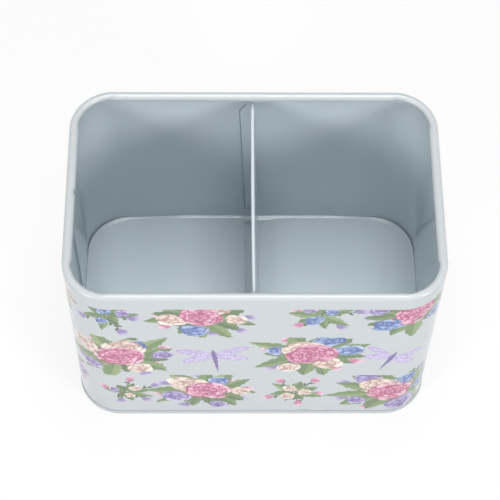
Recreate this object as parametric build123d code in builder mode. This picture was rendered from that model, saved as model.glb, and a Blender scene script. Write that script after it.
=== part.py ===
from build123d import *
import os
from math import atan, cos, degrees, pi, radians, sin, tan

# Seed box in thin tinplate: a printed wall with a curled rim, a seamed-in base and a pressed divider.
# Millimetres. +X runs along the long side, +Y to the back, +Z up. The origin is the middle of the underside.

# The wall, measured over its outer faces
width = 200.0
depth = 130.0
height = 140.0
corner_radius = 24.0
sheet = 0.3  # tinplate of the wall and the base

# Rim: the wall's top edge is rolled inward into an open curl
curl_diameter = 4.8
curl_turn = 315.0  # degrees of roll, which ends short of the wall

# Base seam: the base's edge is folded round the wall's foot, in five layers
seam_proud = 0.5  # how far the seam stands out past the wall
seam_height = 2.8
seam_slack = 0.1  # room past the tip of each hook
neck_start = 3.1  # above the seam the wall steps out again
neck_rise = 1.2

# Base panel
floor_height = 6.0  # top of the floor above the table
shoulder = 1.0  # the floor turns down over a flat at 45 degrees, this wide and this high
ledge = 6.0  # width of the edge of the floor that is formed with the shoulder

# Side seam: the wall's two ends are hooked together at the middle of the left side
lock_shift = 2.5  # from the middle towards the back
lock_width = 4.6
lock_gap = 0.05  # between the pressed layers
lock_jog = 2.4  # run over which the inner end steps off the wall
lock_foot = 1.0  # the hooks start this far above the floor
lock_head = 9.0  # and end this far below the top of the rim
lap_length = 3.0  # stretch of rim at the seam where the curl is rolled tighter
lap_diameter = 3.6

# Divider
divider_sheet = 0.3
divider_foot = 4.65  # its fold lies this far right of the middle
divider_lean = 2.0  # degrees from upright, its top towards the left
divider_rise = 129.3  # from the floor to the top of its bead, along the sheet
bead_diameter = 1.8  # rolled top edge
bead_turn = 300.0
bead_length = 117.0  # fits between the curls at front and back
flange_width = 8.0  # from the divider's right face
flange_bend = 0.9  # mid-sheet radius
flange_foot = 11.0  # the side flanges start this far above the floor
flange_head = 6.0  # and end this far below the top of the bead
flange_crop_height = 7.0  # slanting cut at each side flange's upper corner
flange_crop_width = 4.5
foot_inset = 4.6  # from the wall to each end of the foot flange

os.makedirs("parts", exist_ok=True)

# Mid-sheet lines of the layers of the base seam, measured inward from the wall's outer face
wall_layer = sheet / 2
outer_layer = sheet / 2 - seam_proud
wall_hook_layer = outer_layer + sheet
base_hook_layer = wall_hook_layer + sheet
neck_layer = base_hook_layer + sheet
skirt_layer = neck_layer + sheet

# The same upward from the table: the base runs under the wall's foot and over its hook
under_layer = sheet / 2
foot_layer = under_layer + sheet
over_layer = seam_height - sheet / 2

# The wall's outer face seen from above, once round from the middle of the front
with BuildLine() as wall_line:
    side = Line((0, -depth / 2), (width / 2 - corner_radius, -depth / 2))
    for run in (
        depth - 2 * corner_radius,
        width - 2 * corner_radius,
        depth - 2 * corner_radius,
        width / 2 - corner_radius,
    ):
        bend = JernArc(side @ 1, side % 1, corner_radius, 90)
        side = Line(bend @ 1, bend @ 1 + (bend % 1) * run)

# Wall and base sections are drawn where that line starts: x is inward from the outer face, y is up
section_plane = Plane(origin=(0, -depth / 2, 0), x_dir=(0, 1, 0), z_dir=(1, 0, 0))

# The lock seam's own plane: x is inward from the wall's outer face, y runs from front to back
lock_plane = Plane(origin=(-width / 2, lock_shift, 0), x_dir=(1, 0, 0), z_dir=(0, 0, 1))

with BuildPart() as body_wall:
    # One strip from the hook in the base seam, up past the neck and the wall, into the curl
    wall_hook_tip = over_layer - sheet / 2 - seam_slack
    curl_centre = height - curl_diameter / 2
    with BuildSketch(section_plane):
        with BuildLine():
            face = Polyline(
                (wall_hook_layer, wall_hook_tip),
                (wall_hook_layer, foot_layer),
                (neck_layer, foot_layer),
                (neck_layer, neck_start),
                (wall_layer, neck_start + neck_rise),
                (wall_layer, curl_centre),
            )
            JernArc(face @ 1, face % 1, (curl_diameter - sheet) / 2, -curl_turn)
        trace(line_width=sheet)
    sweep(path=wall_line.line)

    # At the side seam the plain wall gives way to the two hooked ends
    lock_pitch = sheet + lock_gap
    lock_reach = wall_layer + 3 * lock_pitch
    lock_bottom = floor_height + lock_foot
    lock_top = height - lock_head
    with BuildSketch(lock_plane.offset(lock_bottom)):
        with Locations((wall_layer, lock_jog / 2)):
            Rectangle(2 * sheet, lock_width + lock_jog)
    extrude(amount=lock_top - lock_bottom, mode=Mode.SUBTRACT)
    with BuildSketch(lock_plane.offset(lock_bottom)):
        # The front end runs along the wall, turns in and back over one layer
        with BuildLine():
            lap = Line((wall_layer, -lock_width / 2), (wall_layer, lock_width / 2 - lock_pitch))
            fold = JernArc(lap @ 1, lap % 1, lock_pitch, -180)
            Line(fold @ 1, (wall_layer + 2 * lock_pitch, lock_pitch - lock_width / 2))
        trace(line_width=sheet)
        # The back end steps off the wall, runs inside all the rest and turns out between them
        with BuildLine():
            step_start = (wall_layer, lock_width / 2 + lock_jog)
            step_angle = 2 * degrees(atan(3 * lock_pitch / lock_jog))
            step_radius = lock_jog / 2 / sin(radians(step_angle))
            step_in = JernArc(step_start, (0, -1), step_radius, step_angle)
            step_along = JernArc(step_in @ 1, step_in % 1, step_radius, -step_angle)
            cover = Line(step_along @ 1, (lock_reach, lock_pitch - lock_width / 2))
            fold = JernArc(cover @ 1, cover % 1, lock_pitch, -180)
            Line(fold @ 1, (wall_layer + lock_pitch, lock_width / 2 - 2 * lock_pitch))
        trace(line_width=sheet)
    extrude(amount=lock_top - lock_bottom)

    # Over the seam, where the sheet is doubled, the rim is cut down to the plain wall and rolled tighter
    lap_plane = Plane(
        origin=(-width / 2, lock_shift + lap_length / 2, 0), x_dir=(1, 0, 0), z_dir=(0, -1, 0)
    )
    with BuildSketch(lap_plane):
        with Locations((sheet, height)):
            Rectangle(curl_diameter, curl_diameter, align=(Align.MIN, Align.MAX))
        with Locations((0, height)):
            Rectangle(2 * sheet, curl_diameter / 2, align=(Align.MIN, Align.MAX))
    extrude(amount=lap_length, mode=Mode.SUBTRACT)
    with BuildSketch(lap_plane):
        with BuildLine():
            lap_face = Line((wall_layer, curl_centre), (wall_layer, height - lap_diameter / 2))
            JernArc(lap_face @ 1, lap_face % 1, (lap_diameter - sheet) / 2, -curl_turn)
        trace(line_width=sheet)
    extrude(amount=lap_length)

body_wall.part.label = "body_wall"
export_step(body_wall.part, "parts/body_wall.step")

with BuildPart() as base_panel:
    # The base's edge: floor, shoulder, skirt down inside the wall, under it and hooked over
    floor_layer = floor_height - sheet / 2
    base_hook_tip = foot_layer + sheet / 2 + seam_slack
    with BuildSketch(section_plane):
        with BuildLine():
            Polyline(
                (skirt_layer + shoulder + ledge, floor_layer),
                (skirt_layer + shoulder, floor_layer),
                (skirt_layer, floor_layer - shoulder),
                (skirt_layer, under_layer),
                (outer_layer, under_layer),
                (outer_layer, over_layer),
                (base_hook_layer, over_layer),
                (base_hook_layer, base_hook_tip),
            )
        trace(line_width=sheet)
    sweep(path=wall_line.line)

    # The flat floor inside the shoulder
    floor_inset = skirt_layer + shoulder + ledge / 2
    with BuildSketch(Plane.XY.offset(floor_height)):
        RectangleRounded(
            width - 2 * floor_inset,
            depth - 2 * floor_inset,
            corner_radius - floor_inset,
        )
    extrude(amount=-sheet)

base_panel.part.label = "base_panel"
export_step(base_panel.part, "parts/base_panel.step")

# The divider is drawn from its fold, in planes that lean with it
divider_mid = divider_sheet / 2
lean = radians(divider_lean)
lean_right = Vector(cos(lean), 0, sin(lean))
lean_up = Vector(-sin(lean), 0, cos(lean))
fold = Vector(divider_foot, 0, floor_height + divider_mid)
inner_face = depth / 2 - sheet  # from the middle to the wall's inner face, at front and back
foot_half = inner_face - foot_inset
web_half = inner_face - divider_mid - flange_bend
flange_top = divider_rise - flange_head
bead_start = divider_rise - bead_diameter / 2
fold_end = flange_bend * tan((pi / 2 + lean) / 2)  # from the fold to where the sheet is straight

with BuildPart() as divider:
    # The sheet itself, seen from the right: full depth between the side flanges, cut in at the corners
    with BuildSketch(Plane(origin=fold, x_dir=(0, 1, 0), z_dir=lean_right)) as web:
        with BuildLine():
            Polyline(
                (0, fold_end),
                (foot_half, fold_end),
                (web_half, flange_foot),
                (web_half, flange_top),
                (bead_length / 2, bead_start),
                (0, bead_start),
            )
            mirror(about=Plane.YZ)
        make_face()
    extrude(amount=divider_mid, both=True)

    # Side flanges, folded to the left and lying on the front and back walls
    with BuildSketch(Plane(origin=fold + lean_up * flange_foot, x_dir=lean_right, z_dir=lean_up)):
        with BuildLine():
            FilletPolyline(
                (divider_mid - flange_width, inner_face - divider_mid),
                (0, inner_face - divider_mid),
                (0, divider_mid - inner_face),
                (divider_mid - flange_width, divider_mid - inner_face),
                radius=flange_bend,
            )
        trace(line_width=divider_sheet)
    extrude(amount=flange_top - flange_foot)
    with BuildSketch(Plane(origin=fold, x_dir=lean_right, z_dir=(0, -1, 0))):
        with BuildLine():
            Polyline(
                (divider_mid - flange_width, flange_top - flange_crop_height),
                (divider_mid - flange_width + flange_crop_width, flange_top),
                (divider_mid - flange_width, flange_top),
                close=True,
            )
        make_face()
    extrude(amount=depth / 2, both=True, mode=Mode.SUBTRACT)

    # Foot flange, flat on the floor
    with BuildSketch(Plane.XZ):
        with BuildLine():
            FilletPolyline(
                (divider_foot + divider_mid - flange_width, fold.Z),
                (divider_foot, fold.Z),
                (divider_foot + lean_up.X * 2 * fold_end, fold.Z + lean_up.Z * 2 * fold_end),
                radius=flange_bend,
            )
        trace(line_width=divider_sheet)
    extrude(amount=foot_half, both=True)

    # Bead, rolled to the left from the sheet's top edge
    with BuildSketch(Plane(origin=fold, x_dir=lean_right, z_dir=(0, -1, 0))):
        with BuildLine():
            JernArc((0, bead_start), (0, 1), (bead_diameter - divider_sheet) / 2, bead_turn)
        trace(line_width=divider_sheet)
    extrude(amount=bead_length / 2, both=True)

divider.part.label = "divider"
export_step(divider.part, "parts/divider.step")
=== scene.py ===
import math

import bmesh
import bpy
from mathutils import Matrix, Vector


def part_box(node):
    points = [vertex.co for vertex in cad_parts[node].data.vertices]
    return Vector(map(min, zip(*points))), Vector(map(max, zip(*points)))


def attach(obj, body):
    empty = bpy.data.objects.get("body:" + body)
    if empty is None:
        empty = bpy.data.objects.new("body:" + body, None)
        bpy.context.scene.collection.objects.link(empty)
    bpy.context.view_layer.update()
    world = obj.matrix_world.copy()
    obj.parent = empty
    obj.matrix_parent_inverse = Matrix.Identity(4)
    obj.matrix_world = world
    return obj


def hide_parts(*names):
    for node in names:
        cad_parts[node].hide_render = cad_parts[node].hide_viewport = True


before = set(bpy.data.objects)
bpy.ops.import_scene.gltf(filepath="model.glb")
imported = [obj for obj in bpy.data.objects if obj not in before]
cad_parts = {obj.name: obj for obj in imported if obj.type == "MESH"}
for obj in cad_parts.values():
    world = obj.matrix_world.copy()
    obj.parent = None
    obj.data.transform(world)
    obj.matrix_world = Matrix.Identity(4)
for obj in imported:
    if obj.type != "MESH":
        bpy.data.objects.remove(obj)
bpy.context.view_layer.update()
scene = bpy.context.scene
scene.view_settings.view_transform = "Standard"
mm = 0.001
print("frame loaded:", ", ".join(sorted(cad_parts)))


def hexToLinear(code):
    # an sRGB colour as Blender's linear red, green, blue and alpha
    channels = [int(code[i:i + 2], 16) / 255 for i in (1, 3, 5)]
    return [c / 12.92 if c <= 0.04045 else ((c + 0.055) / 1.055) ** 2.4 for c in channels] + [1.0]


def socketOf(value):
    # a node stands for its first output
    return next(s for s in value.outputs if s.enabled) if isinstance(value, bpy.types.Node) else value


def addNode(tree, kind, *links, **settings):
    # settings are the node's properties; links fill its inputs in order, or by name from one dictionary
    node = tree.nodes.new("ShaderNode" + kind)
    for name, value in settings.items():
        setattr(node, name, value)
    sockets = [s for s in node.inputs if s.enabled]
    if links and isinstance(links[0], dict):
        links = links[0]
        sockets = [next(s for s in sockets if s.name == name) for name in links]
        links = links.values()
    for socket, value in zip(sockets, links):
        value = socketOf(value)
        if isinstance(value, bpy.types.NodeSocket):
            tree.links.new(value, socket)
        else:
            socket.default_value = value
    return node


def addObject(name, data):
    made = bpy.data.objects.new(name, data)
    scene.collection.objects.link(made)
    return made


def newMaterial(name):
    material = bpy.data.materials.new(name)
    material.use_nodes = True
    material.node_tree.nodes.clear()
    return material, material.node_tree


def smooth(value):
    value = min(max(value, 0.0), 1.0)
    return value * value * (3 - 2 * value)


# Camera: place and turn in the box's own frame

camera = {
    "place": (-13.999, -455.396, 871.287),  # mm
    "right": (0.99990927, -0.00591691, 0.01210172),
    "up": (-0.00089057, 0.8673677, 0.49766703),
    "back": (-0.0134413, -0.49763265, 0.86728373),
    "lens": 117.3076,
    "sensor": 36.0,
    "clip": (0.05, 20.0),  # metres
}


def makeCamera(settings):
    data = bpy.data.cameras.new("camera")
    data.lens = settings["lens"]
    data.sensor_width = settings["sensor"]
    data.clip_start, data.clip_end = settings["clip"]
    scene.camera = addObject("camera", data)
    turn = Matrix((settings["right"], settings["up"], settings["back"])).transposed().to_4x4()
    scene.camera.matrix_world = Matrix.Translation(Vector(settings["place"]) * mm) @ turn


makeCamera(camera)

# Stage: a white table that keeps a soft shadow, a white room and three soft lamps

stage = {
    "floorSize": 6.0,
    "floorColor": "#f4f5f6",
    "floorLift": 0.8,  # share of plain white that the table shows whatever falls on it
    "roomColor": "#f7f8fa",
    "roomStrength": 0.32,
    "lamps": (  # name, place, aim, size, watts, colour
        ("overhead", (0.05, 0.0, 1.2), (0.0, 0.0, 0.05), (0.9, 0.5), 8.7, "#ffffff"),
        ("rightKey", (1.0, -1.0, 0.72), (0.0, 0.0, 0.1), (0.42, 0.42), 9.0, "#ffffff"),
        ("leftKey", (-1.0, -1.0, 0.72), (0.0, 0.0, 0.1), (0.42, 0.42), 8.7, "#ffffff"),
    ),
}


def whiteToCamera(tree):
    # 1 for rays that show the background: straight from the camera, off gloss or through glass
    path = addNode(tree, "LightPath").outputs
    seen = addNode(tree, "Math", path["Is Camera Ray"], path["Is Glossy Ray"], operation="ADD")
    return addNode(tree, "Math", seen, path["Is Transmission Ray"], operation="ADD", use_clamp=True)


def makeTable(settings):
    material, tree = newMaterial("matt white table")
    plain = addNode(tree, "BsdfDiffuse", {"Color": hexToLinear(settings["floorColor"])})
    white = addNode(tree, "Emission", {"Color": (1, 1, 1, 1), "Strength": 1.0})
    lift = addNode(tree, "Math", whiteToCamera(tree), settings["floorLift"], operation="MULTIPLY")
    both = addNode(tree, "MixShader", lift, plain, white)
    addNode(tree, "OutputMaterial", {"Surface": both})
    half = settings["floorSize"] / 2
    mesh = bpy.data.meshes.new("table_top")
    corners = [(x * half, y * half, 0) for x, y in ((-1, -1), (1, -1), (1, 1), (-1, 1))]
    mesh.from_pydata(corners, [], [(0, 1, 2, 3)])
    mesh.materials.append(material)
    floor = addObject("table_top", mesh)


def makeRoom(settings):
    world = bpy.data.worlds.new("room")
    world.use_nodes = True
    tree = world.node_tree
    tree.nodes.clear()
    color = hexToLinear(settings["roomColor"])
    room = addNode(tree, "Background", {"Color": color, "Strength": settings["roomStrength"]})
    white = addNode(tree, "Background", {"Color": (1, 1, 1, 1), "Strength": 1.0})
    both = addNode(tree, "MixShader", whiteToCamera(tree), room, white)
    addNode(tree, "OutputWorld", {"Surface": both})
    scene.world = world


def makeLamp(name, place, aim, size, watts, color):
    data = bpy.data.lights.new(name, "AREA")
    data.shape = "RECTANGLE"
    data.size, data.size_y = size
    data.energy = watts
    data.color = hexToLinear(color)[:3]
    lamp = addObject(name, data)
    lamp.location = place
    lamp.rotation_euler = (Vector(aim) - Vector(place)).to_track_quat("-Z", "Y").to_euler()


makeTable(stage)
makeRoom(stage)
for lamp in stage["lamps"]:
    makeLamp(*lamp)
print("camera and stage ready")

# Printing inks: watercolour tones, each as dark, middle and pale

inks = {
    "rose": ("#a93668", "#dc8cae", "#f3d2dd"),
    "blush": ("#b48a80", "#e6cfc0", "#f4ebe2"),
    "cornflower": ("#35519a", "#7d97cd", "#c3d0ea"),
    "lilac": ("#6a5499", "#a08cc4", "#d4c9e6"),
    "leaf": ("#37522a", "#688742", "#a8bc7c"),
}
ink = {name: [hexToLinear(code) for code in codes] for name, codes in inks.items()}
toneNames = ("Dark", "Middle", "Pale")


def newMotif(name, numbers, colors=()):
    # an empty node group for one motif: its tree, the sockets it is given and the ones it fills
    tree = bpy.data.node_groups.new(name, "ShaderNodeTree")
    given = {"Place": "Vector"} | dict.fromkeys(numbers, "Float") | dict.fromkeys(colors, "Color")
    for direction, sockets in (("INPUT", given), ("OUTPUT", {"Ink": "Color", "Cover": "Float"})):
        for socket, kind in sockets.items():
            tree.interface.new_socket(name=socket, in_out=direction, socket_type="NodeSocket" + kind)
    return tree, tree.nodes.new("NodeGroupInput").outputs, tree.nodes.new("NodeGroupOutput").inputs


def fillMotif(tree, filled, color, cover):
    tree.links.new(socketOf(color), filled["Ink"])
    tree.links.new(socketOf(cover), filled["Cover"])
    return tree


# Large flower: pairs are ends of a soft edge, or how much a value counts and what is added

bloomLook = {
    "scatter": 0.8,  # how irregular the petals are
    "outwardTone": (0.5, 0.08),  # petals grow paler outward
    "tipTone": 0.55,  # and towards their tips
    "petalTone": 0.45,  # and differ by chance
    "fold": (0.45, 0.7),
    "foldTone": -0.4,
    "ragged": (0.3, 0.78),  # where the outermost petals end
    "outline": (0.13, 0.03),
    "outlineTone": -0.45,
    "edge": (0.0, 0.04),
}


def makeBloomGroup(look):
    # a many-petalled flower: cells wound round the middle, dark at their base and pale at their tip
    tree, given, filled = newMotif("bloom", ("Radius", "Petals", "Rings", "Seed"), toneNames)
    reach = addNode(tree, "VectorMath", given["Place"], operation="LENGTH")
    share = addNode(tree, "Math", reach, given["Radius"], operation="DIVIDE")
    heading = addNode(tree, "VectorMath", given["Place"], operation="NORMALIZE")
    girth = addNode(tree, "Math", given["Petals"], 2 * math.pi, operation="DIVIDE")
    wheel = addNode(tree, "VectorMath", heading, girth, operation="SCALE")
    ring = addNode(tree, "Math", share, given["Rings"], given["Seed"], operation="MULTIPLY_ADD")
    lift = addNode(tree, "CombineXYZ", {"Z": ring})
    spot = addNode(tree, "VectorMath", wheel, lift, operation="ADD")
    petals = {"Vector": spot, "Scale": 1.0, "Randomness": look["scatter"]}
    cells = addNode(tree, "TexVoronoi", petals).outputs
    cellMiddle = addNode(tree, "SeparateXYZ", cells["Position"]).outputs["Z"]
    chance = addNode(tree, "SeparateXYZ", cells["Color"]).outputs["X"]
    toTip = addNode(tree, "Math", ring, cellMiddle, operation="SUBTRACT")
    tone = addNode(tree, "Math", share, *look["outwardTone"], operation="MULTIPLY_ADD")
    tone = addNode(tree, "Math", toTip, look["tipTone"], tone, operation="MULTIPLY_ADD")
    tone = addNode(tree, "Math", chance, look["petalTone"], tone, operation="MULTIPLY_ADD")
    fold = addNode(tree, "MapRange", cells["Distance"], *look["fold"], interpolation_type="SMOOTHSTEP")
    tone = addNode(tree, "Math", fold, look["foldTone"], tone, operation="MULTIPLY_ADD")
    ragged = addNode(tree, "Math", chance, *look["ragged"], operation="MULTIPLY_ADD")
    inside = addNode(tree, "Math", ragged, share, operation="SUBTRACT")
    edges = addNode(tree, "TexVoronoi", petals, feature="DISTANCE_TO_EDGE")
    nearEdge = addNode(tree, "Math", edges, inside, operation="MINIMUM")
    drawn = addNode(tree, "MapRange", nearEdge, *look["outline"])
    tone = addNode(tree, "Math", drawn, look["outlineTone"], tone, operation="MULTIPLY_ADD")
    low = addNode(tree, "Math", tone, 2.0, operation="MULTIPLY", use_clamp=True)
    high = addNode(tree, "Math", tone, 2.0, -1.0, operation="MULTIPLY_ADD", use_clamp=True)
    color = addNode(tree, "Mix", low, given["Dark"], given["Middle"], data_type="RGBA")
    color = addNode(tree, "Mix", high, color, given["Pale"], data_type="RGBA")
    return fillMotif(tree, filled, color, addNode(tree, "MapRange", inside, *look["edge"]))


# Sectors: the plane round a motif's middle is cut into equal sectors, one leaf, stem or flower in each

sectorLook = {
    "middle": (0.4, 0.3),  # where each one starts out, as a share of its sector
    "length": (0.45, 0.55),  # of the longest
    "bend": (5.0, -2.5),  # mm aside at the tip
}


def addSectors(tree, given, look):
    # gives each sector its own chances, and the place in it along and beside its middle line
    turn = addNode(tree, "TexGradient", given["Place"], gradient_type="RADIAL").outputs["Fac"]
    parts = addNode(tree, "Math", turn, given["Count"], operation="MULTIPLY")
    number = addNode(tree, "Math", parts, operation="FLOOR")
    part = addNode(tree, "Math", parts, 1.0, operation="FLOORED_MODULO")
    key = addNode(tree, "CombineXYZ", number, given["Seed"])
    dice = addNode(tree, "TexWhiteNoise", key, noise_dimensions="2D").outputs["Color"]
    chances = addNode(tree, "SeparateXYZ", dice).outputs
    reach = addNode(tree, "VectorMath", given["Place"], operation="LENGTH")
    width = addNode(tree, "Math", 2 * math.pi, given["Count"], operation="DIVIDE")
    arc = addNode(tree, "Math", reach, width, operation="MULTIPLY")
    middle = addNode(tree, "Math", chances["X"], *look["middle"], operation="MULTIPLY_ADD")
    offset = addNode(tree, "Math", part, middle, operation="SUBTRACT")
    side = addNode(tree, "Math", offset, arc, operation="MULTIPLY")
    run = addNode(tree, "Math", given["Outer"], given["Inner"], operation="SUBTRACT")
    share = addNode(tree, "Math", chances["Y"], *look["length"], operation="MULTIPLY_ADD")
    length = addNode(tree, "Math", run, share, operation="MULTIPLY")
    beyond = addNode(tree, "Math", reach, given["Inner"], operation="SUBTRACT")
    along = addNode(tree, "Math", beyond, length, operation="DIVIDE", use_clamp=True)
    bent = addNode(tree, "Math", along, along, operation="MULTIPLY")
    bend = addNode(tree, "Math", chances["Z"], *look["bend"], operation="MULTIPLY_ADD")
    side = addNode(tree, "Math", bent, bend, side, operation="MULTIPLY_ADD")
    return {"side": side, "along": along, "beyond": beyond, "length": length, "chances": chances}


# Leaves

leafLook = {
    "belly": 0.75,  # under 1 the leaf is widest before its middle
    "fullness": (0.25, 0.35),  # share of the width that its own chance gives it
    "teeth": 6.0,
    "toothDepth": (-0.3, 1.1),
    "edge": (0.0, 0.25),
    "litTone": (0.45, 0.15),  # one half is lighter
    "ownTone": 0.6,
    "middleTone": 1.6,
    "paleTone": (1.2, -0.9),
    "veins": 9.0,
    "veinSlant": -0.9,
    "vein": (0.14, 0.02),
    "rib": (0.32, 0.1),  # mm from the middle
    "veinInk": 0.8,
}


def makeLeafGroup(look):
    # a ring of toothed leaves with dark ribs, one half of each lighter
    tree, given, filled = newMotif("leaf ring", ("Count", "Inner", "Outer", "Width", "Seed"))
    sector = addSectors(tree, given, sectorLook)
    side, along, chances = sector["side"], sector["along"], sector["chances"]
    swell = addNode(tree, "Math", along, look["belly"], operation="POWER")
    swell = addNode(tree, "Math", swell, math.pi, operation="MULTIPLY")
    half = addNode(tree, "Math", chances["Z"], *look["fullness"], operation="MULTIPLY_ADD")
    half = addNode(tree, "Math", given["Width"], half, operation="MULTIPLY")
    half = addNode(tree, "Math", half, addNode(tree, "Math", swell, operation="SINE"), operation="MULTIPLY")
    tooth = addNode(tree, "Math", along, look["teeth"], operation="MULTIPLY")
    tooth = addNode(tree, "Math", tooth, 1.0, operation="FLOORED_MODULO")
    toothed = addNode(tree, "Math", tooth, *look["toothDepth"], operation="MULTIPLY_ADD")
    half = addNode(tree, "Math", half, toothed, operation="MULTIPLY")
    off = addNode(tree, "Math", side, operation="ABSOLUTE")
    cover = addNode(tree, "MapRange", addNode(tree, "Math", half, off, operation="SUBTRACT"), *look["edge"])
    lit = addNode(tree, "Math", side, 0.0, operation="GREATER_THAN")
    tone = addNode(tree, "Math", lit, *look["litTone"], operation="MULTIPLY_ADD")
    tone = addNode(tree, "Math", chances["Y"], look["ownTone"], tone, operation="MULTIPLY_ADD")
    veins = addNode(tree, "Math", along, look["veins"], operation="MULTIPLY")
    veinPlace = addNode(tree, "Math", off, look["veinSlant"], veins, operation="MULTIPLY_ADD")
    vein = addNode(tree, "Math", veinPlace, 0.5, operation="PINGPONG")
    vein = addNode(tree, "MapRange", vein, *look["vein"])
    mark = addNode(tree, "Math", vein, addNode(tree, "MapRange", off, *look["rib"]), operation="MAXIMUM")
    mark = addNode(tree, "Math", mark, look["veinInk"], operation="MULTIPLY")
    dark, middle, pale = ink["leaf"]
    low = addNode(tree, "Math", tone, look["middleTone"], operation="MULTIPLY", use_clamp=True)
    high = addNode(tree, "Math", tone, *look["paleTone"], operation="MULTIPLY_ADD", use_clamp=True)
    color = addNode(tree, "Mix", low, dark, middle, data_type="RGBA")
    color = addNode(tree, "Mix", high, color, pale, data_type="RGBA")
    return fillMotif(tree, filled, addNode(tree, "Mix", mark, color, dark, data_type="RGBA"), cover)


# Buds on thin stems

budLook = {
    "stem": (0.5, 0.25),  # mm from its middle
    "stemEnds": (0.001, 0.999),  # share of the way to the tip
    "leafEvery": 3.0,  # mm, on alternate sides
    "leafOut": -1.2,
    "leafSlim": 0.42,
    "leaf": (1.15, 0.95),
    "budSlim": 0.72,
    "budWiden": (0.12, 1.0),
    "bud": (1.0, 0.9),
    "stripe": 0.45,
    "stripeEdge": (0.0, 0.4),
    "rosy": 0.45,  # chance over which a bud is rose and not lilac
    "tip": (0.0, 2.5),
}


def makeBudGroup(look):
    # a ring of thin stems with small leaves up both sides and a striped bud at each tip
    tree, given, filled = newMotif("bud ring", ("Count", "Inner", "Outer", "Bud", "Seed"))
    sector = addSectors(tree, given, sectorLook)
    side, along, chances = sector["side"], sector["along"], sector["chances"]
    start, end = look["stemEnds"]
    onStem = addNode(tree, "Math", along, start, operation="GREATER_THAN")
    beforeTip = addNode(tree, "Math", along, end, operation="LESS_THAN")
    onStem = addNode(tree, "Math", beforeTip, onStem, operation="MULTIPLY")
    off = addNode(tree, "Math", side, operation="ABSOLUTE")
    stem = addNode(tree, "MapRange", off, *look["stem"])
    stem = addNode(tree, "Math", stem, onStem, operation="MULTIPLY")
    # leaves point up the stem
    every = look["leafEvery"]
    paces = addNode(tree, "Math", sector["beyond"], 1 / every, operation="MULTIPLY")
    flip = addNode(tree, "Math", paces, 2.0, operation="FLOORED_MODULO")
    flip = addNode(tree, "Math", flip, 1.0, operation="GREATER_THAN")
    flip = addNode(tree, "Math", flip, 2.0, -1.0, operation="MULTIPLY_ADD")
    x = addNode(tree, "Math", paces, 1.0, operation="FLOORED_MODULO")
    x = addNode(tree, "Math", x, every, -every / 2, operation="MULTIPLY_ADD")
    y = addNode(tree, "Math", side, flip, look["leafOut"], operation="MULTIPLY_ADD")
    lengthwise = addNode(tree, "Math", x, y, operation="ADD")
    lengthwise = addNode(tree, "Math", lengthwise, look["leafSlim"], operation="MULTIPLY")
    leaflet = addNode(tree, "CombineXYZ", lengthwise, addNode(tree, "Math", x, y, operation="SUBTRACT"))
    leaflet = addNode(tree, "VectorMath", leaflet, operation="LENGTH")
    leaflet = addNode(tree, "MapRange", leaflet, *look["leaf"])
    leaflet = addNode(tree, "Math", leaflet, onStem, operation="MULTIPLY")
    green = addNode(tree, "Math", stem, leaflet, operation="MAXIMUM")
    # the bud is a drop across the stem's end
    over = addNode(tree, "Math", sector["beyond"], sector["length"], operation="SUBTRACT")
    over = addNode(tree, "Math", over, look["budSlim"], operation="MULTIPLY")
    widen = addNode(tree, "Math", over, *look["budWiden"], operation="MULTIPLY_ADD")
    narrow = addNode(tree, "Math", side, widen, operation="DIVIDE")
    drop = addNode(tree, "VectorMath", addNode(tree, "CombineXYZ", over, narrow), operation="LENGTH")
    bud = addNode(tree, "Math", drop, given["Bud"], operation="DIVIDE")
    bud = addNode(tree, "MapRange", bud, *look["bud"])
    stripe = addNode(tree, "Math", narrow, look["stripe"], operation="PINGPONG")
    stripe = addNode(tree, "MapRange", stripe, *look["stripeEdge"])
    rosy = addNode(tree, "Math", chances["Z"], look["rosy"], operation="GREATER_THAN")
    tones = []
    for first, second in zip(ink["lilac"], ink["rose"]):
        tones.append(addNode(tree, "Mix", rosy, first, second, data_type="RGBA"))
    budInk = addNode(tree, "Mix", stripe, tones[0], tones[1], data_type="RGBA")
    tip = addNode(tree, "MapRange", over, *look["tip"])
    budInk = addNode(tree, "Mix", tip, budInk, tones[2], data_type="RGBA")
    color = addNode(tree, "Mix", bud, ink["leaf"][0], budInk, data_type="RGBA")
    return fillMotif(tree, filled, color, addNode(tree, "Math", green, bud, operation="MAXIMUM"))


# Small flowers

floretLook = {
    "blue": 0.6,  # chance under which one is blue and not blush
    "lilac": 0.72,  # and over which it is lilac
    "size": (0.5, 0.7),
    "petals": 6.0,
    "rings": 2.2,
}


def makeFloretGroup(look, bloomGroup):
    # a ring of small flowers, blue, lilac or blush by chance
    tree, given, filled = newMotif("floret ring", ("Count", "Inner", "Outer", "Size", "Seed"))
    sector = addSectors(tree, given, sectorLook)
    chances = sector["chances"]
    over = addNode(tree, "Math", sector["beyond"], sector["length"], operation="SUBTRACT")
    place = addNode(tree, "CombineXYZ", over, sector["side"])
    blue = addNode(tree, "Math", chances["X"], look["blue"], operation="LESS_THAN")
    lilac = addNode(tree, "Math", chances["Y"], look["lilac"], operation="GREATER_THAN")
    tones = []
    for first, second, third in zip(ink["blush"], ink["cornflower"], ink["lilac"]):
        tone = addNode(tree, "Mix", blue, first, second, data_type="RGBA")
        tones.append(addNode(tree, "Mix", lilac, tone, third, data_type="RGBA"))
    size = addNode(tree, "Math", chances["Z"], *look["size"], operation="MULTIPLY_ADD")
    size = addNode(tree, "Math", size, given["Size"], operation="MULTIPLY")
    petals = {"Place": place, "Radius": size, "Petals": look["petals"], "Rings": look["rings"]}
    petals |= {"Seed": chances["X"]} | dict(zip(toneNames, tones))
    flower = addNode(tree, "Group", petals, node_tree=bloomGroup).outputs
    return fillMotif(tree, filled, flower["Ink"], flower["Cover"])


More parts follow.
